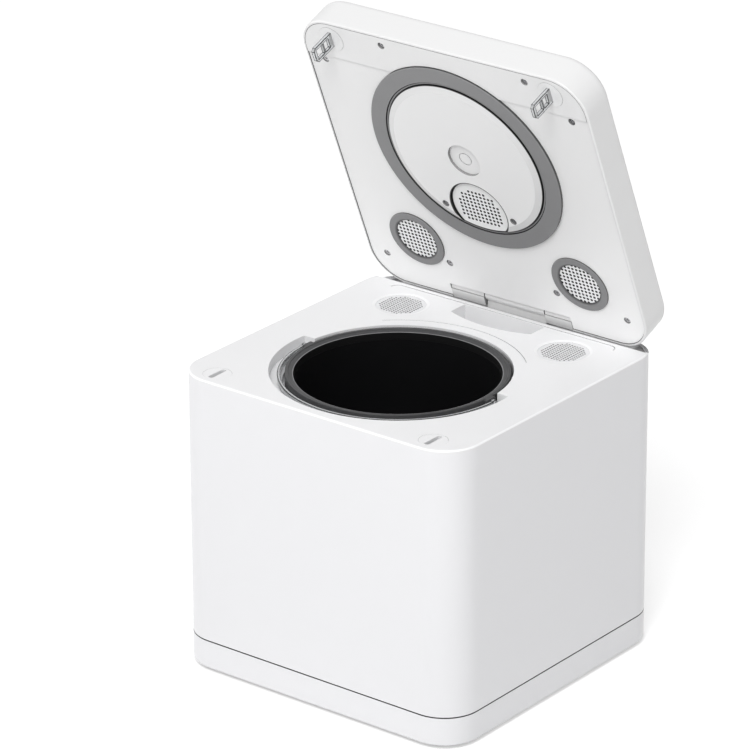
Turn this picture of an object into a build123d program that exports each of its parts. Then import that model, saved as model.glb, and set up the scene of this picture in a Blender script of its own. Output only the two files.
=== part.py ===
from build123d import *
import math
import os

# Electric food waste composter: a square housing on a base tray, a sprung lid
# that stands open, a lift-out bucket with a clear bail, a geared stirring drive,
# a ring heater, and a fan that draws the air through two carbon filters.
# Millimetres, +Z up, the front is -Y, the lid's hinge is at the back (+Y).
# Everything is placed from the middle of the housing, with the floor at Z = 0.
# The lid's pieces are drawn shut and then swung open about the hinge pin.

# ---------------------------------------------------------------- dimensions
BODY = 300.0                # width and depth of the housing
CORNER_R = 34.4             # radius of the upright corners
WALL = 2.6
FOOT_H = 3.0
SEAM_Z = 29.3               # parting line of the base tray and the housing
SEAM_GAP = 0.8
DECK_Z = 274.0              # the flat deck round the bucket
DECK_T = 3.0
WALL_TOP_Z = DECK_Z - DECK_T  # the deck panel rests on the side walls here
EDGE_R = 1.8                # rounding of the deck's outer edge

LID_FACE_Z = DECK_Z + 1.0   # the shut lid's face, just above the deck
LID_TOP_Z = LID_FACE_Z + 33.5
LID_BACK_Y = 149.0
LID_DEPTH = 298.4
LID_MID_Y = LID_BACK_Y - LID_DEPTH / 2
LID_TOP_R = 7.0
LID_EDGE_R = 1.5
LID_WALL = 2.4
SKIN_Z = LID_TOP_Z - LID_WALL
PANEL_BACK_Z = LID_FACE_Z + 3.2
PANEL_STEP = 0.8            # how far the panel lies behind its front band
BAND_Y = LID_BACK_Y - 259.0
LID_OPEN = 67.5             # degrees
HINGE_Y = 138.7
HINGE_Z = 284.6
SWEEP_R = 15.3              # room that the lid's back edge needs as it turns

WELL_Y = -30.0              # centre of the bucket, the gasket and the drive
RIM_R = 96.3
RIM_IN_R = 89.1
RIM_TOP_Z = 273.0
RIM_SKIRT_Z = 256.0
DECK_HOLE_R = 98.6
RECESS_R = 110.2            # finger recess round the front half of the bucket
RECESS_BACK_Y = -20.3
RECESS_Z = 264.2
BOSS_R = 113.0
LEDGE_Z = 261.0             # underside of the deck's ring, top of the liner
LINER_R = 93.8
LINER_T = 1.6
LINER_FLOOR_Z = 100.0
POT_R = 88.8
POT_FLOOR_R = 86.0
POT_T = 1.8
POT_TOP_Z = 264.4
POT_FLOOR_Z = 114.0
POT_CORNER_R = 12.0
SEAL_R = 10.0

PIVOT_Z = 268.8             # the bail's pivot, level with the bail at rest
BAIL_IN_R = 100.0
BAIL_OUT_R = 102.9
BAIL_H = 4.8
LUG_X = 99.2
PIVOT_R = 1.6

VENT_X = 88.0               # the deck's grilles and the lid's vents above them
VENT_Y = 87.5
DECK_VENT_R = 22.3
DISH_R = 25.3
LID_VENT_R = 20.8
VENT_RING_R = 28.9

SLOT_X = 115.3              # lock hooks of the lid, slots of the deck
SLOT_Y = -131.0
SLOT_DISC_R = 12.6
SLOT_L = 21.0
SLOT_W = 4.6
HOOK_DISC_R = 12.5
HOOK_T = 3.2
HOOK_W = 14.4
HOOK_TIP_Z = LID_FACE_Z - 25.0
BOLT_Z = 257.4
BOLT_R = 2.6

GASKET_R = 97.6
GASKET_IN_R = 82.0
GASKET_Z = 273.4
GASKET_LIP_R = 81.2         # thin inner lip, between two grooves
GASKET_LIP_IN_R = 79.9
DISC_Z = 271.4              # face of the raised disc inside the gasket
DISC_FLAT_R = 72.5
DISC_EDGE_R = 79.0
DISC_EDGE_Z = 273.2
FLANGE_R = 84.0             # the disc's flange, clamped in the gasket
FLANGE_Z = 277.0
HUB_R = 16.5                # dished hub in the middle of the disc
HUB_DEPTH = 2.3
INTAKE_Y = 26.5             # round opening of the disc, cut off by its edge
INTAKE_R = 29.7
INTAKE_DEPTH = 2.2
HOLES_Y = 28.5              # middle of the intake's holes

POCKET_X = 43.3             # finger pocket behind the bucket
POCKET_FRONT_Y = 101.0
POCKET_NOSE_Y = 92.0
POCKET_BACK_Y = 121.0
POCKET_DEPTH = 20.0
CREASE_X = 113.0            # fine crease in front of the hinge
CREASE_Y = 122.7
CREASE_R = 7.6

NOTCH_X = 65.3              # hinge notch of the lid
NOTCH_Y = 133.4
NOTCH_TOP_Z = 294.5
KNUCKLE_R = 8.0
BRACKET_X0 = -28.4          # the housing's knuckle stands off the middle
BRACKET_X1 = 35.4
KNUCKLE_GAP = 1.0
LEFT_MOUTH = KNUCKLE_GAP - BRACKET_X0
RIGHT_MOUTH = KNUCKLE_GAP + BRACKET_X1
HINGE_PIN_R = 3.0
PIN_END = 63.5
RUN_GAP = 0.05              # radial play of the running fits

GEAR_MODULE = 1.5
PINION_TEETH = 18
WHEEL_TEETH = 54
GEAR_Z0 = 53.0
GEAR_Z1 = 61.0
MOTOR_Y = WELL_Y + GEAR_MODULE * (PINION_TEETH + WHEEL_TEETH) / 2
PLATE_Z0 = 48.0             # floor plate of the gearbox
PLATE_Z1 = 51.0
COVER_Z0 = 66.0
COVER_Z1 = 69.0
GEARBOX_W = 116.0
GEARBOX_D = 136.0
GEARBOX_Y = -12.0
LEG_X = 50.0
LEG_Y = 60.0                # from the gearbox's middle
WHEEL_ROOM_R = 46.0
PINION_ROOM_R = 19.0
SHAFT_R = 5.0
MOTOR_SHAFT_R = 3.0
BLADE_SHAFT_R = 5.8
DOG_Z = 102.5               # hexagonal dog that turns the blade
DOG_W = 14.4
BLADE_SHAFT_Z = 142.0
BLADE_R = 79.5
BEARING_R = 11.0

FAN_Z = 160.0
FAN_Y0 = 129.0
FAN_Y1 = 145.0
FAN_BORE_R = 27.5
FAN_HALF = 30.0
CANISTER_R = 24.0
CANISTER_Z = 148.0
DUCT_Z0 = 118.0
INLET_X = 95.0
INLET_Z = 62.0
BOARD_X0 = -110.0           # power board on the tray, left corner at the back
BOARD_Y0 = 60.0
BOARD_W = 76.0
BOARD_D = 50.0
BOARD_Z = 12.0

BUTTON_Y = -105.0
BUTTON_R = 10.7
PANEL_W = 110.0
PANEL_D = 34.0

ORIGIN_Y = 6.3              # the part's origin is the middle of the ground that
                            # the whole object covers with its lid open

BASE = (Align.CENTER, Align.CENTER, Align.MIN)
FAR = 400.0                 # longer than anything here, for cutting boxes
parts = {}


# ------------------------------------------------------------------- helpers
def block(x0, x1, y0, y1, z0, z1):
    """A box between two corners."""
    size = Box(x1 - x0, y1 - y0, z1 - z0)
    return Pos((x0 + x1) / 2, (y0 + y1) / 2, (z0 + z1) / 2) * size


def rod(radius, z0, z1, x=0.0, y=0.0):
    """An upright cylinder."""
    return Pos(x, y, z0) * Cylinder(radius, z1 - z0, align=BASE)


def rod_x(radius, x0, x1, y, z):
    """A cylinder along X."""
    return Pos((x0 + x1) / 2, y, z) * Rot(0, 90, 0) * Cylinder(radius, x1 - x0)


def rod_y(radius, y0, y1, x, z):
    """A cylinder along Y."""
    return Pos(x, (y0 + y1) / 2, z) * Rot(90, 0, 0) * Cylinder(radius, y1 - y0)


def slab(width, depth, radius, z0, z1, x=0.0, y=0.0):
    """A plate with rounded upright corners."""
    return Pos(x, y, z0) * extrude(RectangleRounded(width, depth, radius), z1 - z0)


def turned(points, x=0.0, y=0.0):
    """A solid of revolution from (radius, z) points."""
    outline = make_face(Polyline(*[(r, 0, z) for r, z in points], close=True))
    return Pos(x, y, 0) * revolve(outline, Axis.Z)


def tube(outer, inner, z0, z1, x=0.0, y=0.0):
    """A plain upright ring."""
    return rod(outer, z0, z1, x, y) - rod(inner, z0 - 1, z1 + 1, x, y)


def hexagon(across, z0, z1, x=0.0, y=0.0):
    """An upright hexagonal prism, measured across its flats."""
    outline = RegularPolygon(across / 2, 6, major_radius=False)
    return Pos(x, y, z0) * extrude(outline, z1 - z0)


def both_sides(shape):
    """A pair: the piece as drawn and its mirror image across X = 0."""
    return Compound(children=[shape, flipped(shape)])


def flipped(shape):
    """The same piece on the other side of the X = 0 plane."""
    return mirror(shape, about=Plane.YZ)


def opened(shape):
    """A piece of the shut lid, swung open about the hinge pin."""
    home = Pos(0, -HINGE_Y, -HINGE_Z)
    return Pos(0, HINGE_Y, HINGE_Z) * Rot(-LID_OPEN, 0, 0) * home * shape


def edges_at(shape, z):
    """The edges that lie flat at one height."""
    return shape.edges().filter_by_position(Axis.Z, z - 0.01, z + 0.01)


def hole_grid(radius, pitch, hole_d, z0, z1, x, y, limit_r=None):
    """Drills for a perforated disc: a square grid inside a circle.

    limit_r also keeps the holes that near to the bucket's axis."""
    count = int(radius / pitch) + 1
    steps = [i * pitch for i in range(-count, count + 1)]
    spots = [(x + a, y + b) for a in steps for b in steps
             if math.hypot(a, b) <= radius - hole_d / 2]
    if limit_r:
        spots = [(a, b) for a, b in spots if math.hypot(a, b - WELL_Y) <= limit_r]
    drills = Sketch() + [Pos(a, b) * Circle(hole_d / 2) for a, b in spots]
    return Pos(0, 0, z0) * extrude(drills, z1 - z0)


def gear_face(teeth, phase, backlash=0.35):
    """A spur gear's outline: involute flanks drawn as short runs."""
    pitch_r = GEAR_MODULE * teeth / 2
    base_r = pitch_r * math.cos(math.radians(20))
    tip_r = pitch_r + GEAR_MODULE * 0.95
    root_r = pitch_r - GEAR_MODULE * 1.3
    foot_r = max(base_r, root_r + 0.2)
    half = math.pi / (2 * teeth) - backlash / (2 * pitch_r)
    lead = math.tan(math.radians(20)) - math.radians(20)
    flank = []
    for step in range(5):
        r = foot_r + (tip_r - foot_r) * step / 4
        press = math.acos(base_r / r)
        flank.append((r, half + lead - (math.tan(press) - press)))
    flank.insert(0, (root_r, flank[0][1] + 0.01))
    points = []
    for tooth in range(teeth):
        middle = 2 * math.pi * tooth / teeth + phase
        for r, angle in flank:
            points.append((r * math.cos(middle - angle), r * math.sin(middle - angle)))
        for r, angle in reversed(flank):
            points.append((r * math.cos(middle + angle), r * math.sin(middle + angle)))
    return make_face(Polyline(*points, close=True))


def coil(radius, wire_r, pitch, turns, x, y, z):
    """A helical spring whose axis lies along X, starting at x."""
    path = Helix(pitch, pitch * turns, radius)
    section = Plane(origin=path @ 0, z_dir=path % 0) * Circle(wire_r)
    wire = sweep(section, path=path, is_frenet=True)
    return Pos(x, y, z) * Rot(0, 90, 0) * wire


def screw_spots():
    """The four screws that hold the tray to the housing."""
    return [(x, y) for x in (-118, 118) for y in (-118, 118)]


def leg_spots():
    """The four legs of the gearbox."""
    return [(x, GEARBOX_Y + y) for x in (-LEG_X, LEG_X) for y in (-LEG_Y, LEG_Y)]


def panel_screw_spots():
    """The screws that hold the lid's inner panel."""
    spots = [(-59.5, -137.9), (90.8, -138.0)]
    for side in (-1, 1):
        spots.append((side * 130, -104.9))
        spots.append((side * 130, 116.7))
        spots.append((side * 57.8, 107.3))
    return spots


def disc_screw_spots():
    """The two screws of the disc inside the gasket."""
    return [(-36.2, 28.3), (36.2, 28.3)]


# ---------------------------------------------------------------- base parts
def base_tray():
    """The bottom tray: side band up to the seam, lip, vent slots and posts."""
    inner = BODY - 2 * WALL
    inner_r = CORNER_R - WALL
    tray = slab(BODY, BODY, CORNER_R, FOOT_H, SEAM_Z)
    tray = fillet(edges_at(tray, FOOT_H), 2.2)
    tray -= slab(inner, inner, inner_r, FOOT_H + WALL, SEAM_Z + 1)
    lip = slab(inner - 0.6, inner - 0.6, inner_r - 0.3, SEAM_Z - 6, SEAM_Z + 5)
    foot = slab(inner + 1, inner + 1, inner_r + 0.5, SEAM_Z - 6, SEAM_Z - 2)
    tray += lip + foot
    tray -= slab(inner - 5, inner - 5, inner_r - 2.5, SEAM_Z - 7, SEAM_Z + 6)
    slot = slab(46, 3.2, 1.5, FOOT_H - 1, FOOT_H + WALL + 1)
    for side in (-1, 1):
        for row in range(7):
            tray -= Pos(side * 82, -30 + 12 * row, 0) * slot
    for x, y in leg_spots():
        tray += rod(7, FOOT_H + 1, 9, x, y)
    for x in (BOARD_X0 + 5, BOARD_X0 + BOARD_W - 5):
        for y in (BOARD_Y0 + 5, BOARD_Y0 + BOARD_D - 5):
            tray += rod(3, FOOT_H + 1, BOARD_Z, x, y)
    for x, y in screw_spots():
        tray += rod(5, FOOT_H + 1, SEAM_Z - 4, x, y)
        tray -= rod(3.6, FOOT_H - 1, FOOT_H + 3.2, x, y)
        tray -= rod(1.7, FOOT_H, SEAM_Z, x, y)
    return tray


def rubber_feet():
    """Four rubber feet, flat where they stand."""
    outline = [(0, 0), (8.6, 0), (9.6, 1.0), (9.6, FOOT_H), (0, FOOT_H)]
    spots = [(x, y) for x in (-136.5, 136.5) for y in (-104.0, 99.0)]
    return Compound(children=[turned(outline, x, y) for x, y in spots])


def base_screws():
    """Pan-head screws with a cross recess, from below into the housing."""
    head_z = FOOT_H + 1.0
    screws = []
    for x, y in screw_spots():
        screw = rod(3.2, head_z, head_z + 2.2, x, y)
        screw += rod(1.65, head_z + 2.2, SEAM_Z + 6, x, y)
        cross = Box(3.6, 0.8, 1.6) + Box(0.8, 3.6, 1.6)
        screws.append(screw - Pos(x, y, head_z) * cross)
    return Compound(children=screws)


# ------------------------------------------------------------------- housing
def pocket_face(grow):
    """The pocket behind the bucket: straight back, bowed front."""
    side_x = POCKET_X + grow
    front_y = POCKET_FRONT_Y - grow * 0.5
    back_y = POCKET_BACK_Y + grow
    bow = ThreePointArc((-side_x, front_y), (0, POCKET_NOSE_Y - grow), (side_x, front_y))
    rest = Polyline((side_x, front_y), (side_x, back_y), (-side_x, back_y), (-side_x, front_y))
    return make_face(bow.edges() + rest.edges())


def crease():
    """The cutter for the fine crease, which curls forward at both ends."""
    low = DECK_Z - 1.0
    cut = block(-CREASE_X, CREASE_X, CREASE_Y - 0.45, CREASE_Y + 0.45, low, DECK_Z + 1)
    curl = tube(CREASE_R + 0.45, CREASE_R - 0.45, low, DECK_Z + 1, CREASE_X, CREASE_Y - CREASE_R)
    curl &= block(CREASE_X, FAR, CREASE_Y - CREASE_R, FAR, 0, FAR)
    return cut + curl + flipped(curl)


def housing_shell():
    """The upright side walls in one moulding, open above and below."""
    inner = BODY - 2 * WALL
    inner_r = CORNER_R - WALL
    shell = slab(BODY, BODY, CORNER_R, SEAM_Z + SEAM_GAP, WALL_TOP_Z)
    shell -= slab(inner, inner, inner_r, SEAM_Z - 1, DECK_Z)
    # openings for the exhaust grille and the power inlet in the back wall
    shell -= block(-31.9, 31.9, 144, FAR, FAN_Z - 31.9, FAN_Z + 31.9)
    shell -= block(INLET_X - 15, INLET_X + 15, 144, FAR, INLET_Z - 11, INLET_Z + 11)
    # screw posts, each tied to the side wall by a rib
    for x, y in screw_spots():
        reach = math.copysign(148.4, x)
        shell += rod(5, SEAM_Z - 3.9, SEAM_Z + 14, x, y)
        shell += block(min(x, reach), max(x, reach), y - 1, y + 1, SEAM_Z + 5.6, SEAM_Z + 14)
        shell -= rod(1.7, SEAM_Z - 5, SEAM_Z + 6.5, x, y)
    return shell


def deck_panel():
    """The deck that closes the side walls, with the bucket's opening and the trough."""
    inner = BODY - 2 * WALL
    inner_r = CORNER_R - WALL
    deck = slab(BODY, BODY, CORNER_R, WALL_TOP_Z, DECK_Z)
    deck = fillet(edges_at(deck, DECK_Z), EDGE_R)
    # tabs that centre it in the side walls
    for side in (-1, 1):
        deck += block(side * 70 - 8, side * 70 + 8, -147.2, -145.2, 264, WALL_TOP_Z + 1)
        for y in (-70, 60):
            deck += block(side * 146.2 - 1, side * 146.2 + 1, y - 8, y + 8, 264, WALL_TOP_Z + 1)
    # ring that carries the liner, and the pocket's walls
    deck += tube(BOSS_R, DECK_HOLE_R, LEDGE_Z, DECK_Z - 1, 0, WELL_Y)
    walls = extrude(pocket_face(2.0), POCKET_DEPTH)
    deck += Pos(0, 0, DECK_Z - POCKET_DEPTH - 2) * walls
    deck -= Pos(0, 0, DECK_Z - POCKET_DEPTH) * extrude(pocket_face(0), POCKET_DEPTH + 1)
    # trough for the lid's back edge
    floor = slab(inner, inner, inner_r, 264.5, DECK_Z - 1)
    deck += floor & block(-FAR, FAR, POCKET_BACK_Y + 1, FAR, 0, FAR)
    deck -= rod_x(SWEEP_R, -BODY, BODY, HINGE_Y, HINGE_Z)
    deck -= block(-FAR, FAR, 144.0, FAR, WALL_TOP_Z, FAR)
    deck -= block(BRACKET_X0 - 0.4, BRACKET_X1 + 0.4, 134.5, 145.9, 260, 275)
    # bucket opening and the finger recess round its front half
    deck -= rod(DECK_HOLE_R, LEDGE_Z - 1, DECK_Z + 1, 0, WELL_Y)
    recess = rod(RECESS_R, RECESS_Z, DECK_Z + 1, 0, WELL_Y)
    deck -= recess & block(-FAR, FAR, -FAR, RECESS_BACK_Y, 0, FAR)
    # fine line that carries the recess's edge on round the back of the bucket
    line = tube(RECESS_R + 0.4, RECESS_R - 0.4, DECK_Z - 0.8, DECK_Z + 1, 0, WELL_Y)
    deck -= line & block(-FAR, FAR, WELL_Y + 78, FAR, 0, FAR)
    deck -= crease()
    for side in (-1, 1):
        x = side * VENT_X
        dish = [(0, DECK_Z - 1.0), (21.4, DECK_Z - 1.0), (DISH_R, DECK_Z),
                (DISH_R, DECK_Z + 1), (0, DECK_Z + 1)]
        deck -= turned(dish, x, VENT_Y)
        deck -= rod(DECK_VENT_R + 0.1, WALL_TOP_Z - 1, DECK_Z + 1, x, VENT_Y)
        x = side * SLOT_X
        deck -= rod(SLOT_DISC_R, DECK_Z - 2, DECK_Z + 1, x, SLOT_Y)
        deck -= slab(SLOT_W + 3, SLOT_L + 1.6, 2, WALL_TOP_Z - 1, DECK_Z, x, SLOT_Y)
    return deck


def deck_grilles():
    """The two perforated discs in the deck."""
    disc = rod(DECK_VENT_R, WALL_TOP_Z, DECK_Z - 1.0, VENT_X, VENT_Y)
    disc -= hole_grid(20.4, 2.8, 1.8, WALL_TOP_Z - 1, DECK_Z, VENT_X, VENT_Y)
    return both_sides(disc)


def slot_plates():
    """Round plates with the walled slots that take the lid's hooks."""
    plate = rod(SLOT_DISC_R - 0.15, DECK_Z - 2, DECK_Z - 0.1, SLOT_X, SLOT_Y)
    plate += slab(SLOT_W + 2.4, SLOT_L + 1.2, 1.9, 264, DECK_Z - 1, SLOT_X, SLOT_Y)
    plate -= slab(SLOT_W, SLOT_L, SLOT_W / 2 - 0.1, 263, DECK_Z, SLOT_X, SLOT_Y)
    return both_sides(plate)


# ---------------------------------------------------- heated well and filters
def well_liner():
    """The pressed cup that the bucket hangs in, with a flange under the deck."""
    out = LINER_R + LINER_T
    flange_z = LEDGE_Z - LINER_T
    cup = turned([(16, LINER_FLOOR_Z), (out, LINER_FLOOR_Z), (out, flange_z),
                  (BOSS_R - 1, flange_z), (BOSS_R - 1, LEDGE_Z), (LINER_R, LEDGE_Z),
                  (LINER_R, LINER_FLOOR_Z + LINER_T), (16, LINER_FLOOR_Z + LINER_T)], 0, WELL_Y)
    return cup


def insulation_sleeve():
    """Felt sleeve round the liner."""
    inner = LINER_R + LINER_T + 0.1
    return tube(inner + 9.5, inner, LINER_FLOOR_Z + 3, 254, 0, WELL_Y)


def heater_plate():
    """Ring heater pressed against the liner's floor, with two terminals."""
    plate = tube(84, 22, LINER_FLOOR_Z - 6, LINER_FLOOR_Z, 0, WELL_Y)
    plate -= tube(62, 52, LINER_FLOOR_Z - 7, LINER_FLOOR_Z - 4.5, 0, WELL_Y)
    for x in (-6, 6):
        plate += block(x - 2, x + 2, WELL_Y + 70, WELL_Y + 82, LINER_FLOOR_Z - 14, LINER_FLOOR_Z - 5)
    return plate


def filter_canister():
    """The right-hand filter cup under the deck grille."""
    cup = rod(CANISTER_R, CANISTER_Z, WALL_TOP_Z, VENT_X, VENT_Y)
    cup -= rod(CANISTER_R - 1.8, CANISTER_Z + 2, DECK_Z, VENT_X, VENT_Y)
    return cup - rod(7, CANISTER_Z - 1, CANISTER_Z + 3, VENT_X, VENT_Y + 4.5)


def carbon_filters():
    """Two cartridges of carbon, one in each cup, with a pull tab on top."""
    body = rod(CANISTER_R - 2.2, CANISTER_Z + 6, 262, VENT_X, VENT_Y)
    body -= rod(CANISTER_R - 5, 259, 263, VENT_X, VENT_Y)
    body += block(VENT_X - 8, VENT_X + 8, VENT_Y - 1, VENT_Y + 1, 258, 266)
    return both_sides(body)


def exhaust_duct():
    """Box duct from both filter cups to the fan."""
    top = CANISTER_Z
    arms = block(-112, 112, 80, 104, DUCT_Z0, top)
    arms += block(-32, 32, 96, FAN_Y0, DUCT_Z0, FAN_Z + 32)
    arms -= block(-110, 110, 82, 102, DUCT_Z0 + 2, top - 2)
    arms -= block(-30, 30, 98, FAN_Y0 - 2, DUCT_Z0 + 2, FAN_Z + 30)
    arms -= rod_y(FAN_BORE_R, FAN_Y0 - 4, FAN_Y0 + 1, 0, FAN_Z)
    for x in (-VENT_X, VENT_X):
        arms -= rod(7, top - 3, top + 1, x, VENT_Y + 4.5)
    return arms


def fan_housing():
    """Square frame of the axial fan, with its motor hub on three struts."""
    frame = block(-FAN_HALF, FAN_HALF, FAN_Y0, FAN_Y1, FAN_Z - FAN_HALF, FAN_Z + FAN_HALF)
    frame -= rod_y(FAN_BORE_R, FAN_Y0 - 1, FAN_Y1 + 1, 0, FAN_Z)
    hub = rod_y(9.5, FAN_Y1 - 3, FAN_Y1, 0, FAN_Z)
    for turn in (90, 210, 330):
        strut = block(0, FAN_BORE_R + 1, FAN_Y1 - 2.4, FAN_Y1, -1.6, 1.6)
        hub += Pos(0, 0, FAN_Z) * Rot(0, turn, 0) * strut
    frame += hub
    return frame - rod_y(1.5 + RUN_GAP, FAN_Y1 - 4, FAN_Y1 + 1, 0, FAN_Z)


def fan_impeller():
    """Seven twisted blades on a hub, with its axle."""
    rotor = rod_y(9, FAN_Y0 + 1.5, FAN_Y1 - 3.5, 0, FAN_Z)
    rotor += rod_y(1.5, FAN_Y1 - 4, FAN_Y1 - 0.3, 0, FAN_Z)
    count = 7
    for i in range(count):
        blade = Pos(17.2, (FAN_Y0 + FAN_Y1) / 2 - 1.2, 0) * Rot(38, 0, 0) * Box(18.4, 1.3, 13)
        rotor += Pos(0, 0, FAN_Z) * Rot(0, 360 / count * i, 0) * blade
    return rotor


def rear_grille():
    """Slotted insert of the back wall, with a flange behind the wall."""
    plate = block(-31.7, 31.7, 147.4, 149.8, FAN_Z - 31.7, FAN_Z + 31.7)
    plate += block(-34, 34, 146.2, 147.4, FAN_Z - 34, FAN_Z + 34)
    plate -= block(-28, 28, 146, 147.6, FAN_Z - 28, FAN_Z + 28)
    for row in range(-4, 5):
        z = FAN_Z + row * 6
        plate -= block(-26, 26, 145, 151, z - 1.6, z + 1.6)
    return plate


# ------------------------------------------------------ stirring drive, power
def gearbox_plan(grow):
    """The room for both gears: two rounds joined by a neck."""
    big = Pos(0, WELL_Y) * Circle(WHEEL_ROOM_R + grow)
    small = Pos(0, MOTOR_Y) * Circle(PINION_ROOM_R + grow)
    neck = Pos(0, (WELL_Y + MOTOR_Y) / 2) * Rectangle(2 * (PINION_ROOM_R + grow), MOTOR_Y - WELL_Y)
    return big + small + neck


def gearbox_housing():
    """Cast box on four legs, open on top."""
    box = slab(GEARBOX_W, GEARBOX_D, 9, PLATE_Z0, PLATE_Z1, 0, GEARBOX_Y)
    box += Pos(0, 0, PLATE_Z1) * extrude(gearbox_plan(3), COVER_Z0 - PLATE_Z1)
    box -= Pos(0, 0, PLATE_Z1) * extrude(gearbox_plan(0), COVER_Z0 - PLATE_Z1 + 1)
    box += rod(14, PLATE_Z0 - 6, PLATE_Z1, 0, WELL_Y)
    box -= rod(BEARING_R, PLATE_Z0 - 4, PLATE_Z1 + 1, 0, WELL_Y)
    box -= rod(8, PLATE_Z0 - 1, PLATE_Z1 + 1, 0, MOTOR_Y)
    for x, y in leg_spots():
        box += rod(5, 9, PLATE_Z0, x, y)
    return box


def gearbox_cover():
    """Lid of the gearbox with the upper bearing's seat."""
    cover = Pos(0, 0, COVER_Z0) * extrude(gearbox_plan(3), COVER_Z1 - COVER_Z0)
    cover += rod(14, COVER_Z1, COVER_Z1 + 8, 0, WELL_Y)
    cover -= rod(BEARING_R, COVER_Z1, COVER_Z1 + 9, 0, WELL_Y)
    return cover - rod(SHAFT_R + 1, COVER_Z0 - 1, COVER_Z1 + 1, 0, WELL_Y)


def shaft_bearings():
    """Two bushes for the output shaft."""
    inner = SHAFT_R + RUN_GAP
    low = tube(BEARING_R, inner, PLATE_Z0 - 4, PLATE_Z0 + 2, 0, WELL_Y)
    high = tube(BEARING_R, inner, COVER_Z1, COVER_Z1 + 6, 0, WELL_Y)
    return Compound(children=[low, high])


def drive_motor():
    """Round motor hung under the gearbox, with its end cap and flange."""
    motor = rod(25, 13, 43, 0, MOTOR_Y) + rod(27, 43, PLATE_Z0, 0, MOTOR_Y)
    motor += rod(21, 10, 13, 0, MOTOR_Y) + rod(6, 8, 10, 0, MOTOR_Y)
    return motor - rod(MOTOR_SHAFT_R + RUN_GAP, 38, PLATE_Z0 + 1, 0, MOTOR_Y)


def motor_pinion():
    """Pinion on the motor's shaft."""
    phase = -math.pi / 2 + math.pi / PINION_TEETH
    teeth = extrude(gear_face(PINION_TEETH, phase), GEAR_Z1 - GEAR_Z0)
    pinion = Pos(0, MOTOR_Y, GEAR_Z0) * teeth
    return pinion + rod(MOTOR_SHAFT_R, 39, GEAR_Z1 + 2, 0, MOTOR_Y)


def drive_gear():
    """Large gear of the output shaft, with a hub and round lightening holes."""
    teeth = extrude(gear_face(WHEEL_TEETH, math.pi / 2), GEAR_Z1 - GEAR_Z0)
    wheel = Pos(0, WELL_Y, GEAR_Z0) * teeth
    wheel += rod(10, GEAR_Z1, GEAR_Z1 + 4, 0, WELL_Y)
    for i in range(6):
        a = math.radians(60 * i)
        wheel -= rod(6.5, GEAR_Z0 - 1, GEAR_Z1 + 1, 24 * math.cos(a), WELL_Y + 24 * math.sin(a))
    return wheel - rod(SHAFT_R, GEAR_Z0 - 1, GEAR_Z1 + 5, 0, WELL_Y)


def output_shaft():
    """Steel shaft with the hexagonal dog that turns the blade."""
    shaft = rod(SHAFT_R, PLATE_Z0 - 3, DOG_Z, 0, WELL_Y)
    return shaft + hexagon(DOG_W, DOG_Z, DOG_Z + 6.8, 0, WELL_Y)


def power_inlet():
    """Appliance inlet with three pins in its socket."""
    inlet = block(INLET_X - 24, INLET_X + 24, 150, 152, INLET_Z - 14, INLET_Z + 14)
    inlet += block(INLET_X - 14.7, INLET_X + 14.7, 126, 150, INLET_Z - 10.7, INLET_Z + 10.7)
    inlet -= block(INLET_X - 12, INLET_X + 12, 134, 153, INLET_Z - 8, INLET_Z + 8)
    for x, z in ((-7, -2), (0, 2.4), (7, -2)):
        inlet += block(INLET_X + x - 1, INLET_X + x + 1, 133, 149, INLET_Z + z - 2, INLET_Z + z + 2)
    for x in (-20, 20):
        inlet -= rod_y(1.8, 149, 153, INLET_X + x, INLET_Z)
    return inlet


def power_board():
    """Power board with its transformer, capacitors and relay."""
    top = BOARD_Z + 1.6
    board = block(0, BOARD_W, 0, BOARD_D, BOARD_Z, top)
    board += block(10, 38, 12, 38, top, 40)
    board += block(46, 62, 30, 44, top, 30)
    for x in (46, 60):
        board += rod(6, top, 34, x, 16)
    return Pos(BOARD_X0, BOARD_Y0, 0) * board


# ------------------------------------------------------------- lock and hinge
def lock_solenoids():
    """Two solenoids under the deck that drive the lock bolts."""
    half = 8.0
    body = block(72, 98, SLOT_Y - half, SLOT_Y + half, BOLT_Z - half, BOLT_Z + half)
    body += block(72, 76, SLOT_Y - half, SLOT_Y + half, BOLT_Z + half - 1, WALL_TOP_Z)
    body -= rod_x(BOLT_R + RUN_GAP, 84, 99, SLOT_Y, BOLT_Z)
    return both_sides(body)


def lock_bolt():
    """The right-hand bolt, drawn back, with a collar."""
    bolt = rod_x(BOLT_R, 86, 109.5, SLOT_Y, BOLT_Z)
    return bolt + rod_x(4.2, 101, 103, SLOT_Y, BOLT_Z)


def hinge_bracket():
    """The housing's knuckle on its arm, with a flange under the trough."""
    bracket = rod_x(KNUCKLE_R, BRACKET_X0, BRACKET_X1, HINGE_Y, HINGE_Z)
    bracket += block(BRACKET_X0, BRACKET_X1, 134.9, 145.5, 262, HINGE_Z)
    bracket += block(BRACKET_X0 - 6, BRACKET_X1 + 6, 128, 146.8, 261, 264.5)
    return bracket - rod_x(HINGE_PIN_R, -FAR, FAR, HINGE_Y, HINGE_Z)


def hinge_pin():
    """The pin that the lid turns on."""
    return rod_x(HINGE_PIN_R, -PIN_END, PIN_END, HINGE_Y, HINGE_Z)


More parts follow.
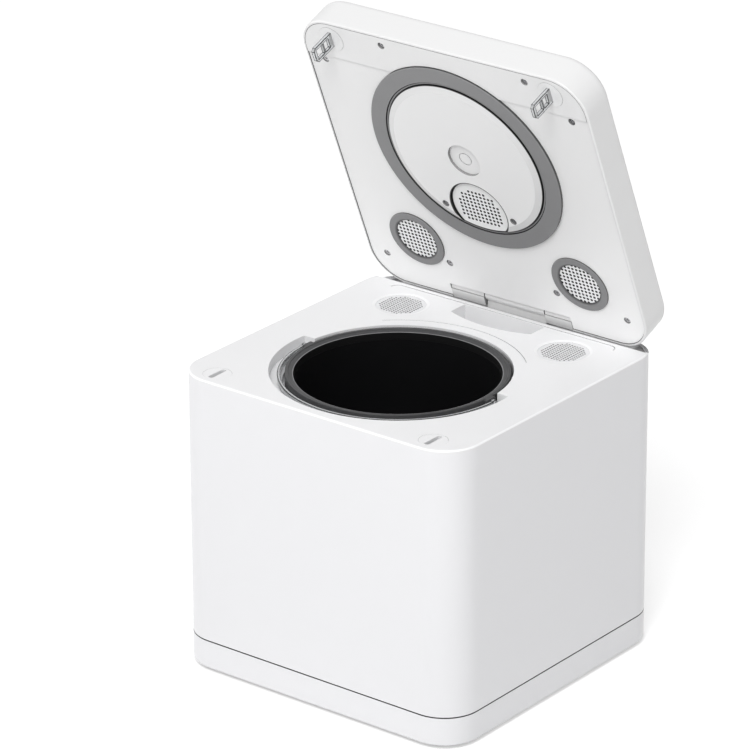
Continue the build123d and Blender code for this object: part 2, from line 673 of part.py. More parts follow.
def hinge_barrel(mouth):
    """A right-hand knuckle of the lid, bored for the pin, with room for a spring."""
    end = NOTCH_X - 0.3
    barrel = rod_x(KNUCKLE_R, mouth, end, HINGE_Y, HINGE_Z)
    barrel += block(mouth, end, HINGE_Y - 4, HINGE_Y + 4, HINGE_Z, NOTCH_TOP_Z)
    barrel += block(mouth, end, HINGE_Y, LID_BACK_Y - 0.5, HINGE_Z - 9.1, NOTCH_TOP_Z)
    barrel -= rod_x(HINGE_PIN_R + RUN_GAP, mouth - 1, PIN_END + 0.5, HINGE_Y, HINGE_Z)
    return barrel - rod_x(6.3, mouth - 1, mouth + 18, HINGE_Y, HINGE_Z)


def lid_springs():
    """The two torsion springs that throw the lid open."""
    left = coil(4.75, 0.7, 2.2, 6, LEFT_MOUTH + 2.3, HINGE_Y, HINGE_Z)
    right = coil(4.75, 0.7, 2.2, 6, RIGHT_MOUTH + 2.3, HINGE_Y, HINGE_Z)
    return Compound(children=[flipped(left), right])


# ----------------------------------------------------------------------- lid
def lid_cover():
    """Outer shell of the lid, with the hinge notch and the screw posts."""
    cover = slab(BODY, LID_DEPTH, CORNER_R, LID_FACE_Z, LID_TOP_Z, 0, LID_MID_Y)
    cover = fillet(edges_at(cover, LID_TOP_Z), LID_TOP_R)
    cover = fillet(edges_at(cover, LID_FACE_Z), LID_EDGE_R)
    inner_w = BODY - 2 * LID_WALL
    inner_d = LID_DEPTH - 2 * LID_WALL
    room = slab(inner_w, inner_d, CORNER_R - LID_WALL, LID_FACE_Z - 1, SKIN_Z, 0, LID_MID_Y)
    room = fillet(edges_at(room, SKIN_Z), LID_TOP_R - LID_WALL)
    cover -= room
    box = block(-NOTCH_X - 2, NOTCH_X + 2, 127.8, 148, PANEL_BACK_Z, NOTCH_TOP_Z + 2)
    cover += box
    cover -= block(-NOTCH_X, NOTCH_X, 129.8, FAR, LID_FACE_Z - 1, NOTCH_TOP_Z)
    for x, y in panel_screw_spots() + disc_screw_spots():
        cover += rod(4.2, PANEL_BACK_Z + 1.6, SKIN_Z + 0.5, x, y)
        cover -= rod(1.5, PANEL_BACK_Z, PANEL_BACK_Z + 14, x, y)
    cover -= slab(PANEL_W, PANEL_D, PANEL_D / 2 - 0.1, SKIN_Z - 1, LID_TOP_Z + 1, 0, BUTTON_Y)
    return cover


def screw_cup(x, y, face_z):
    """The pad behind a plate for one recessed screw, and its bore."""
    pad = rod(5, face_z + 1, PANEL_BACK_Z + 1.6, x, y)
    bore = rod(3.4, face_z - 2, face_z + 3.2, x, y) + rod(1.6, face_z, PANEL_BACK_Z + 3, x, y)
    return pad, bore


def lid_inner_panel():
    """Inner side of the lid: front band, lower field, seats and screw cups."""
    gap = LID_WALL + 0.45
    panel = slab(BODY - 2 * gap, LID_DEPTH - 2 * gap, CORNER_R - gap,
                 LID_FACE_Z, PANEL_BACK_Z, 0, LID_MID_Y)
    panel -= block(-FAR, FAR, BAND_Y, FAR, 0, LID_FACE_Z + PANEL_STEP)
    panel -= rod(GASKET_R + 0.5, 0, LID_FACE_Z + PANEL_STEP, 0, WELL_Y)
    panel -= rod(90, 0, FAR, 0, WELL_Y)
    panel -= block(-NOTCH_X, NOTCH_X, NOTCH_Y, FAR, 0, FAR)
    for side in (-1, 1):
        panel -= rod(25, 0, FAR, side * VENT_X, VENT_Y)
        panel -= rod(HOOK_DISC_R + 0.1, 0, FAR, side * SLOT_X, SLOT_Y)
    for x, y in panel_screw_spots():
        pad, bore = screw_cup(x, y, LID_FACE_Z)
        panel = panel + pad - bore
    return panel


def lid_screw(x, y, face_z):
    """One recessed screw of the lid, its head 1.6 mm under the face."""
    head_z = face_z + 1.6
    screw = rod(2.9, head_z, head_z + 1.6, x, y)
    screw += rod(1.45, head_z + 1.6, PANEL_BACK_Z + 12, x, y)
    cross = Box(3.2, 0.7, 1.4) + Box(0.7, 3.2, 1.4)
    return screw - Pos(x, y, head_z) * cross


def lid_screws():
    """The screws of the lid's inner panel and of its disc."""
    screws = [lid_screw(x, y, LID_FACE_Z) for x, y in panel_screw_spots()]
    screws += [lid_screw(x, y, DISC_Z) for x, y in disc_screw_spots()]
    return Compound(children=screws)


def main_gasket():
    """Broad silicone ring that seals the bucket, gripping panel and disc."""
    face_z = LID_FACE_Z + PANEL_STEP
    back_z = FLANGE_Z + 3.6
    ring = turned([(GASKET_IN_R, GASKET_Z), (GASKET_R, GASKET_Z), (GASKET_R, face_z),
                   (89.9, face_z), (89.9, back_z), (81.5, back_z), (81.5, FLANGE_Z + 1.6),
                   (FLANGE_R, FLANGE_Z + 1.6), (FLANGE_R, FLANGE_Z), (GASKET_LIP_IN_R, FLANGE_Z),
                   (GASKET_LIP_IN_R, GASKET_Z + 0.8), (GASKET_LIP_R, GASKET_Z + 0.8),
                   (GASKET_LIP_R, 276.0), (GASKET_IN_R, 276.0)], 0, WELL_Y)
    outer = edges_at(ring, GASKET_Z).sort_by(SortBy.LENGTH)[-1]
    return fillet(outer, 0.8)


def intake_face(grow, edge_r):
    """The intake's outline: a round cut off by a circle round the disc's middle."""
    return (Pos(0, INTAKE_Y) * Circle(INTAKE_R + grow)) & (Pos(0, WELL_Y) * Circle(edge_r))


def inner_disc():
    """The raised disc inside the gasket, with its dished hub and the intake opening."""
    disc = turned([(0, DISC_Z), (DISC_FLAT_R, DISC_Z), (DISC_EDGE_R, DISC_EDGE_Z),
                   (DISC_EDGE_R, FLANGE_Z), (FLANGE_R, FLANGE_Z), (FLANGE_R, FLANGE_Z + 1.6),
                   (DISC_EDGE_R - 2.5, FLANGE_Z + 1.6), (DISC_EDGE_R - 2.5, DISC_EDGE_Z + 1.6),
                   (DISC_FLAT_R - 1, DISC_Z + 2), (0, DISC_Z + 2)], 0, WELL_Y)
    floor_z = DISC_Z + HUB_DEPTH + 1
    disc += rod(HUB_R + 2, DISC_Z + 1, floor_z + 1.5, 0, WELL_Y)
    disc -= rod(HUB_R, DISC_Z - 1, floor_z, 0, WELL_Y)
    collar = extrude(intake_face(1.6, DISC_EDGE_R - 1), DISC_Z + 4 - DISC_EDGE_Z)
    disc += Pos(0, 0, DISC_EDGE_Z) * collar
    for x, y in disc_screw_spots():
        pad, bore = screw_cup(x, y, DISC_Z)
        disc = disc + pad - bore
    return disc - Pos(0, 0, DISC_Z - 1) * extrude(intake_face(0, DISC_EDGE_R + 0.6), 6.5)


def hub_cap():
    """Bare round cap in the hub's dish, with a fine ring."""
    face_z = DISC_Z + HUB_DEPTH
    cap = rod(HUB_R - 0.15, face_z, face_z + 1, 0, WELL_Y)
    return cap - tube(6.5, 5.8, face_z - 1, face_z + 0.5, 0, WELL_Y)


def centre_grille():
    """The perforated intake, through which the lid draws the bucket's air."""
    face_z = DISC_Z + INTAKE_DEPTH
    back_z = DISC_Z + 4.0
    plate = Pos(0, 0, face_z) * extrude(intake_face(-0.5, DISC_EDGE_R - 0.3), back_z - face_z)
    plate += Pos(0, 0, back_z) * extrude(intake_face(1.3, DISC_EDGE_R - 2.7), 1.0)
    thin = (Pos(0, HOLES_Y) * Circle(25.6)) & (Pos(0, WELL_Y) * Circle(75.6))
    plate -= Pos(0, 0, face_z + 1.0) * extrude(thin, 4)
    return plate - hole_grid(24.4, 4.0, 2.6, face_z - 1, back_z + 2, 0, HOLES_Y, 73.7)


def vent_ring():
    """The right-hand silicone ring round a vent of the lid."""
    face_z = LID_FACE_Z + PANEL_STEP
    low = face_z - 1.4
    ring = turned([(LID_VENT_R, low + 1.0), (LID_VENT_R + 2.2, low), (VENT_RING_R, low),
                   (VENT_RING_R, face_z), (24.9, face_z), (24.9, PANEL_BACK_Z),
                   (22.4, PANEL_BACK_Z), (22.4, face_z), (LID_VENT_R, face_z)], VENT_X, VENT_Y)
    outer = edges_at(ring, low).sort_by(SortBy.LENGTH)[-1]
    return fillet(outer, 0.7)


def vent_grille():
    """The right-hand perforated disc of the lid."""
    face_z = LID_FACE_Z + PANEL_STEP
    disc = rod(22.3, face_z, face_z + 1.0, VENT_X, VENT_Y)
    return disc - hole_grid(22.0, 4.0, 2.6, face_z - 1, face_z + 3, VENT_X, VENT_Y)


def hook_bases():
    """Round plates that hold the hooks."""
    plate = rod(HOOK_DISC_R, LID_FACE_Z - 0.2, PANEL_BACK_Z, SLOT_X, SLOT_Y)
    half_t = HOOK_T / 2
    half_w = HOOK_W / 2
    plate -= block(SLOT_X - half_t, SLOT_X + half_t, SLOT_Y - half_w, SLOT_Y + half_w, 0, FAR)
    return both_sides(plate)


def latch_hook():
    """The right-hand clear hook: a frame with a window for the bolt."""
    half_t = HOOK_T / 2
    half_w = HOOK_W / 2
    hook = block(-half_t, half_t, -half_w, half_w, HOOK_TIP_Z, PANEL_BACK_Z)
    tips = hook.edges().filter_by(Axis.X).group_by(Axis.Z)[0]
    hook = chamfer(tips, 2.4)
    hook -= block(-half_t - 1, half_t + 1, -half_w + 2.4, half_w - 2.4, HOOK_TIP_Z + 3, HOOK_TIP_Z + 12)
    hook -= block(-half_t - 1, half_t + 1, -half_w + 2.4, half_w - 2.4, HOOK_TIP_Z + 13.4, HOOK_TIP_Z + 20)
    return Pos(SLOT_X, SLOT_Y, 0) * hook


def air_duct():
    """Duct in the lid from the intake to both vents."""
    z0 = 284.0
    z1 = 300.0
    duct = block(-31, 31, 4, 102, z0, z1) + block(-112, 112, 68, 102, z0, z1)
    duct -= block(-29.4, 29.4, 5.6, 100.4, z0 + 1.6, z1 - 1.6)
    duct -= block(-110.4, 110.4, 69.6, 100.4, z0 + 1.6, z1 - 1.6)
    for x, y, r in ((0, INTAKE_Y - 2, 18), (VENT_X, VENT_Y - 2, 14), (-VENT_X, VENT_Y - 2, 14)):
        duct += tube(r + 1.6, r, PANEL_BACK_Z + 0.6, z0 + 1, x, y)
        duct -= rod(r, z0 - 1, z0 + 2, x, y)
    return duct


def control_panel():
    """Gloss insert on top of the lid, held by a flange under the skin."""
    panel = slab(PANEL_W - 0.4, PANEL_D - 0.4, PANEL_D / 2 - 0.3, SKIN_Z, LID_TOP_Z, 0, BUTTON_Y)
    panel += slab(PANEL_W + 5, PANEL_D + 5, PANEL_D / 2 + 2.4, SKIN_Z - 1.2, SKIN_Z, 0, BUTTON_Y)
    panel -= rod(BUTTON_R + 0.4, 0, FAR, 0, BUTTON_Y)
    for x in lens_spots():
        panel -= rod(1.8, 0, FAR, x, BUTTON_Y)
    return panel


def lens_spots():
    """The four indicator lenses, two on each side of the button."""
    return [-38, -26, 26, 38]


def indicator_lenses():
    """Small clear lenses of the indicator lamps."""
    lenses = [rod(1.8, SKIN_Z - 1.2, LID_TOP_Z + 0.2, x, BUTTON_Y) for x in lens_spots()]
    return Compound(children=lenses)


def control_board():
    """Control board under the panel, with the button's switch."""
    board = block(-48, 48, BUTTON_Y - 16, BUTTON_Y + 16, 296, 297.6)
    board += block(-6, 6, BUTTON_Y - 6, BUTTON_Y + 6, 297.6, 300.4)
    for x in (-44, 44):
        for y in (-12, 12):
            board += rod(2.5, 297, SKIN_Z - 1.2, x, BUTTON_Y + y)
    return board


def start_button():
    """Press button with a dished top and a stop flange."""
    button = rod(BUTTON_R, SKIN_Z - 3, LID_TOP_Z + 0.8, 0, BUTTON_Y)
    button = fillet(edges_at(button, LID_TOP_Z + 0.8), 0.6)
    button += rod(BUTTON_R + 1.6, SKIN_Z - 3.2, SKIN_Z - 1.6, 0, BUTTON_Y)
    button += rod(3, 302.2, SKIN_Z - 3, 0, BUTTON_Y)
    bowl = 60.0
    top = LID_TOP_Z + 0.8
    return button - Pos(0, BUTTON_Y, top + bowl - 0.6) * Sphere(bowl)


# -------------------------------------------------------------------- bucket
def pot_form(grow):
    """The pot's inside as a full body, or its outside when grown by the wall."""
    low = POT_FLOOR_Z - grow
    cone = turned([(0, low), (POT_FLOOR_R + grow, low), (POT_R + grow, POT_TOP_Z),
                   (0, POT_TOP_Z)], 0, WELL_Y)
    return fillet(edges_at(cone, low), POT_CORNER_R + grow)


def bucket_pot():
    """Tapered pot with a rounded bottom corner and the blade's bore."""
    pot = pot_form(POT_T) - pot_form(0)
    return pot - rod(SEAL_R, POT_FLOOR_Z - POT_T - 1, POT_FLOOR_Z + 1, 0, WELL_Y)


def bucket_rim():
    """Moulded rim that hangs the bucket on the liner, with the bail's lugs."""
    skirt_r = LINER_R - 0.6
    rest_z = LEDGE_Z + 0.4
    rim = turned([(RIM_R, rest_z), (RIM_R, RIM_TOP_Z), (RIM_R - 2.9, RIM_TOP_Z),
                  (RIM_R - 2.9, RIM_TOP_Z - 0.7), (RIM_IN_R, RIM_TOP_Z - 2.2),
                  (RIM_IN_R, POT_TOP_Z), (POT_R + POT_T, POT_TOP_Z),
                  (POT_R + POT_T, RIM_SKIRT_Z), (skirt_r, RIM_SKIRT_Z), (skirt_r, rest_z)], 0, WELL_Y)
    rim = fillet(edges_at(rim, RIM_TOP_Z), 0.6)
    lug = block(94, LUG_X, WELL_Y - 6, WELL_Y + 6, RECESS_Z + 0.6, RIM_TOP_Z - 0.1)
    lug = fillet(lug.edges().filter_by(Axis.X).group_by(Axis.Z)[-1], 1.5)
    bore = rod_x(PIVOT_R, 95, FAR, WELL_Y, PIVOT_Z)
    return rim + lug + flipped(lug) - bore - flipped(bore)


def handle_pins():
    """Headed pins that the bail turns on."""
    pin = rod_x(PIVOT_R, 95, 103.2, WELL_Y, PIVOT_Z)
    return both_sides(pin + rod_x(2.8, 103.2, 104.2, WELL_Y, PIVOT_Z))


def bail_handle():
    """Clear bail, folded flat round the front of the rim."""
    low = PIVOT_Z - BAIL_H / 2
    bail = tube(BAIL_OUT_R, BAIL_IN_R, low, low + BAIL_H, 0, WELL_Y)
    bail = fillet(edges_at(bail, low) + edges_at(bail, low + BAIL_H), 0.4)
    bail &= block(-FAR, FAR, -FAR, WELL_Y, 0, FAR)
    eye = rod_x(3.4, BAIL_IN_R, BAIL_OUT_R, WELL_Y, PIVOT_Z)
    bail += eye + flipped(eye)
    return bail - rod_x(PIVOT_R + RUN_GAP, -FAR, FAR, WELL_Y, PIVOT_Z)


def shaft_seal():
    """Lip seal in the pot's floor."""
    inner = BLADE_SHAFT_R + RUN_GAP
    return turned([(inner, POT_FLOOR_Z - POT_T), (SEAL_R, POT_FLOOR_Z - POT_T), (SEAL_R, POT_FLOOR_Z),
                   (13, POT_FLOOR_Z), (12, POT_FLOOR_Z + 2.4), (inner, POT_FLOOR_Z + 2.4)], 0, WELL_Y)


def blade_shaft():
    """Short shaft of the blade with its hexagonal socket under the pot."""
    shaft = rod(BLADE_SHAFT_R, 109.9, BLADE_SHAFT_Z, 0, WELL_Y)
    shaft += rod(12.5, DOG_Z + 0.9, 111.6, 0, WELL_Y)
    return shaft - hexagon(DOG_W + 1, DOG_Z - 1, DOG_Z + 7.4, 0, WELL_Y)


def mixing_blade():
    """Cast blade: a tall hub with three tilted arms, each ending in a scraper."""
    foot_z = POT_FLOOR_Z + 3.0
    blade = turned([(0, foot_z), (14, foot_z), (13, foot_z + 10), (9, foot_z + 42),
                    (5, foot_z + 47), (0, foot_z + 48)])
    for turn, height in ((0, 8), (180, 16), (95, 33)):
        arm = Pos(42, 0, 0) * Rot(40, 0, 0) * Box(80, 3.6, 15)
        arm += Pos(78, 0, 4) * Box(6, 12, 20)
        arm &= rod(BLADE_R, -7, 16)
        blade += Rot(0, 0, turn) * Pos(0, 0, foot_z + height) * arm
    blade -= rod(BLADE_SHAFT_R, foot_z - 9, BLADE_SHAFT_Z)
    return Pos(0, WELL_Y, 0) * blade


# ---------------------------------------------------------------- hand it out
def collect():
    """Every sub-part under its node's name."""
    for make in (base_tray, rubber_feet, base_screws, housing_shell, deck_panel,
                 deck_grilles, slot_plates, well_liner,
                 insulation_sleeve, heater_plate, carbon_filters, exhaust_duct, fan_housing,
                 fan_impeller, rear_grille, gearbox_housing, gearbox_cover, shaft_bearings,
                 drive_motor, motor_pinion, drive_gear, output_shaft, power_inlet, power_board,
                 lock_solenoids, hinge_bracket, hinge_pin, bucket_pot, bucket_rim, handle_pins,
                 bail_handle, shaft_seal, blade_shaft, mixing_blade):
        parts[make.__name__] = make()
    for make in (filter_canister, lock_bolt):
        parts[make.__name__ + "_right"] = make()
        parts[make.__name__ + "_left"] = flipped(make())
    for make in (lid_cover, lid_inner_panel, lid_screws, main_gasket, inner_disc, hub_cap,
                 centre_grille, hook_bases, air_duct, control_panel, indicator_lenses,
                 control_board, start_button, lid_springs):
        parts[make.__name__] = opened(make())
    for make in (vent_ring, vent_grille, latch_hook):
        parts[make.__name__ + "_right"] = opened(make())
        parts[make.__name__ + "_left"] = opened(flipped(make()))
    parts["hinge_barrel_left"] = opened(flipped(hinge_barrel(LEFT_MOUTH)))
    parts["hinge_barrel_right"] = opened(hinge_barrel(RIGHT_MOUTH))


collect()
os.makedirs("parts", exist_ok=True)
for name, shape in parts.items():
    export_step(Pos(0, -ORIGIN_Y, 0) * shape, f"parts/{name}.step")
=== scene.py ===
import math

import bpy
from mathutils import Matrix, Vector

# Finish, light and camera for the electric food waste composter. Metres, the row's frame.

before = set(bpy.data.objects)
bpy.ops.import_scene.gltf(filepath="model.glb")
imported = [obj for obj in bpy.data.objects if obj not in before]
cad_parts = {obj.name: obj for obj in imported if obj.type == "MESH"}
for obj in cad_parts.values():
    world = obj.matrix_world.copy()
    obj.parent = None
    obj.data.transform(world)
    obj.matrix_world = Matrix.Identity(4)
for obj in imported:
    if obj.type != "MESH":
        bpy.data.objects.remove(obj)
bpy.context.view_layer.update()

# ------------------------------------------------------------------- camera
# Solved from the photograph, whose frame is 749 pixels square.
FRAME_PX = 749.0
SENSOR_MM = 36.0
FOCAL_PX = 5018.3
AZIMUTH = 38.193
ELEVATION = 22.894
ROLL = -0.222
DISTANCE = 4.2894
CLIP_NEAR = 0.05
CLIP_FAR = 60.0
HOUSING_Y = -0.0063         # the housing's middle in the row's frame
AIM_RIGHT = -0.03845        # where the view's middle lies, from the housing's middle
AIM_Z = 0.25913

# --------------------------------------------------------------------- light
WORLD_LEVEL = 0.6
SEEN_LEVEL = 1.0            # white, where the camera, gloss or glass sees the world
FLOOR_COLOUR = 0.78
FLOOR_LIFT = 0.48           # brings the floor up to white where these see it
FLOOR_HALF = 20.0
# name, place, point it faces, size, power
LAMPS = (
    ("key", (1.1, -2.55, 3.3), (0, 0, 0.25), (1.6, 1.6), 100.0),
    ("front", (-0.8, -3.2, 0.9), (0, 0, 0.35), (2.0, 1.6), 5.0),
    ("left", (-3.4, -0.9, 1.4), (0, 0, 0.25), (1.6, 2.2), 24.0),
    ("right", (3.2, -0.8, 1.4), (0, 0, 0.25), (2.0, 2.0), 6.0),
)

# ------------------------------------------------------------ places and axes
UP = (0.0, 0.0, 1.0)
LID_OUT = (0.0, -0.92388, -0.38268)     # straight out of the open lid's inner face
LID_MIDDLE = (0.0, 0.0857, 0.4162)      # inside the open lid's shell
# Heights over which the lid's inner white fades from its painted light near the hinge to the tip's
# white.
LID_LOW_Z = 0.29
LID_HIGH_Z = 0.54
WELL = (0.0, -0.0363, 0.0)              # on the bucket's axis
SEAM_Z = 0.0297                         # middle of the gap over the base tray
SEAM_HALF = 0.0005
SEAM_SHADE = 0.06
TRAY_FOOT_Z = 0.0037                    # the tray's lower edge
# The pocket and the trough's ends get painted shade.
POCKET_Y = 0.0745                       # the pocket behind the bucket
POCKET_Z = 0.2728
TROUGH_Y = 0.1285                       # the trough under the lid's back edge
TROUGH_Z = 0.2732
TROUGH_END_X = 0.128                    # its dark ends begin this far out
TROUGH_FADE = 0.004
HINGE_LOW_Z = 0.2745                    # where the hinge barrels' shading begins and ends
HINGE_HIGH_Z = 0.2865
VENT = (0.088, 0.10448, 0.32838)        # on the axis of the lid's right vent
VENT_LIP_R = 0.0213                     # inner end of the slope of the vent's ring
VENT_SLOPE = 0.0016                     # how wide that slope is
RIM_BORE_R = 0.08915                    # the bucket rim's inner radius
RIM_HIGHLIGHT_R = 0.09005                    # outer side of the pale line round it
DISC = (0.0, 0.05953, 0.43701)          # on the axis of the lid's disc
DISC_SIDE_R = 0.0786                    # where the disc's sloping edge ends
DISC_BORE_R = 0.0781                    # where the intake is cut off by that edge
INTAKE = (0.0, 0.07981, 0.38426)        # on the axis of the disc's intake
INTAKE_R = 0.0300                       # edge of the disc's opening for the intake
INTAKE_FACE_R = 0.0287                  # the intake's own face


def new_camera():
    """The photograph's camera."""
    a = math.radians(AZIMUTH)
    e = math.radians(ELEVATION)
    r = math.radians(ROLL)
    back = Vector((math.sin(a) * math.cos(e), -math.cos(a) * math.cos(e), math.sin(e)))
    level = Vector((math.cos(a), math.sin(a), 0))
    rise = back.cross(level)
    right = level * math.cos(r) + rise * math.sin(r)
    up = rise * math.cos(r) - level * math.sin(r)
    aim = Vector((0, HOUSING_Y, AIM_Z)) + level * AIM_RIGHT
    data = bpy.data.cameras.new("camera")
    data.sensor_width = SENSOR_MM
    data.lens = FOCAL_PX * SENSOR_MM / FRAME_PX
    data.clip_start = CLIP_NEAR
    data.clip_end = CLIP_FAR
    camera = bpy.data.objects.new("camera", data)
    bpy.context.collection.objects.link(camera)
    turn = Matrix((right, up, back)).transposed().to_4x4()
    camera.matrix_world = Matrix.Translation(aim + back * DISTANCE) @ turn
    bpy.context.scene.camera = camera


def area_light(name, place, aim, size, power):
    """A soft rectangular lamp that faces a point."""
    data = bpy.data.lights.new(name, "AREA")
    data.shape = "RECTANGLE"
    data.size, data.size_y = size
    data.energy = power
    lamp = bpy.data.objects.new(name, data)
    bpy.context.collection.objects.link(lamp)
    place = Vector(place)
    lamp.location = place
    lamp.rotation_euler = (Vector(aim) - place).to_track_quat("-Z", "Y").to_euler()


def new_world():
    """Even pale light all round; white where the camera, gloss or glass sees it."""
    world = bpy.data.worlds.new("studio")
    bpy.context.scene.world = world
    world.use_nodes = True
    tree = world.node_tree
    tree.nodes.clear()
    out = tree.nodes.new("ShaderNodeOutputWorld")
    light = tree.nodes.new("ShaderNodeBackground")
    light.inputs["Strength"].default_value = WORLD_LEVEL
    seen = tree.nodes.new("ShaderNodeBackground")
    seen.inputs["Strength"].default_value = SEEN_LEVEL
    mix = tree.nodes.new("ShaderNodeMixShader")
    tree.links.new(seen_by_eye(tree), mix.inputs[0])
    tree.links.new(light.outputs[0], mix.inputs[1])
    tree.links.new(seen.outputs[0], mix.inputs[2])
    tree.links.new(mix.outputs[0], out.inputs[0])


def seen_by_eye(tree):
    """1 for rays of the camera, of gloss and of glass, and 0 for the others."""
    path = tree.nodes.new("ShaderNodeLightPath")
    first = tree.nodes.new("ShaderNodeMath")
    first.operation = "MAXIMUM"
    both = tree.nodes.new("ShaderNodeMath")
    both.operation = "MAXIMUM"
    tree.links.new(path.outputs["Is Camera Ray"], first.inputs[0])
    tree.links.new(path.outputs["Is Glossy Ray"], first.inputs[1])
    tree.links.new(first.outputs[0], both.inputs[0])
    tree.links.new(path.outputs["Is Transmission Ray"], both.inputs[1])
    return both.outputs[0]


def new_floor():
    """A plain pale floor that shows white and keeps the object's shadow."""
    mesh = bpy.data.meshes.new("floor")
    corners = [(x * FLOOR_HALF, y * FLOOR_HALF, 0) for x, y in ((-1, -1), (1, -1), (1, 1), (-1, 1))]
    mesh.from_pydata(corners, [], [(0, 1, 2, 3)])
    floor = bpy.data.objects.new("floor", mesh)
    bpy.context.collection.objects.link(floor)
    mat = bpy.data.materials.new("floor_paper")
    mat.use_nodes = True
    tree = mat.node_tree
    tree.nodes.clear()
    out = tree.nodes.new("ShaderNodeOutputMaterial")
    paper = tree.nodes.new("ShaderNodeBsdfDiffuse")
    paper.inputs["Color"].default_value = (FLOOR_COLOUR, FLOOR_COLOUR, FLOOR_COLOUR, 1)
    lift = tree.nodes.new("ShaderNodeEmission")
    lift.inputs["Color"].default_value = (1, 1, 1, 1)
    strength = tree.nodes.new("ShaderNodeMath")
    strength.operation = "MULTIPLY"
    strength.inputs[1].default_value = FLOOR_LIFT
    add = tree.nodes.new("ShaderNodeAddShader")
    tree.links.new(seen_by_eye(tree), strength.inputs[0])
    tree.links.new(strength.outputs[0], lift.inputs["Strength"])
    tree.links.new(paper.outputs[0], add.inputs[0])
    tree.links.new(lift.outputs[0], add.inputs[1])
    tree.links.new(add.outputs[0], out.inputs[0])
    mesh.materials.append(mat)


# ----------------------------------------------------------------- materials
# One white plastic throughout. Its values differ part to part as painted light, fitted together
# with the lamps. The deck's rounded edge is palest as a painted highlight, and the lid's inner side
# is painted paler, most near the hinge.
WHITE_SHELL = (0.81, 0.81, 0.825)
WHITE_EDGE_HIGHLIGHT = (0.965, 0.965, 0.975)
WHITE_LID = (0.81, 0.81, 0.812)
WHITE_INNER_PAINTED_LIGHT = (0.94, 0.94, 0.94)
WHITE_TIP = (0.83, 0.83, 0.832)
WALL_TO_EDGE = 0.84         # the shell's white over the deck edge's
DECK_TO_EDGE = 0.897        # the deck's white over its edge's
# Painted shade on the disc's sloping edge, as a fraction of its face's colour.
CHAMFER_SHADE = 0.8               # the disc's sloping edge over its face
INNER_ROUGHNESS = 0.36      # the lid's inner side
SHELL_ROUGHNESS = 0.3
EDGE_RADIUS = 0.0003        # how far sharp edges look broken
SOFT_EDGE_RADIUS = 0.0005   # the same on cast metal and rubber
FADE = 0.0003               # over which a shaded place fades out
BAND_FADE = 0.0002          # the same for a narrow band
HOLE_SHADE = 0.04           # what is left of the colour in holes and behind edges
CLEAR_IOR = 1.49


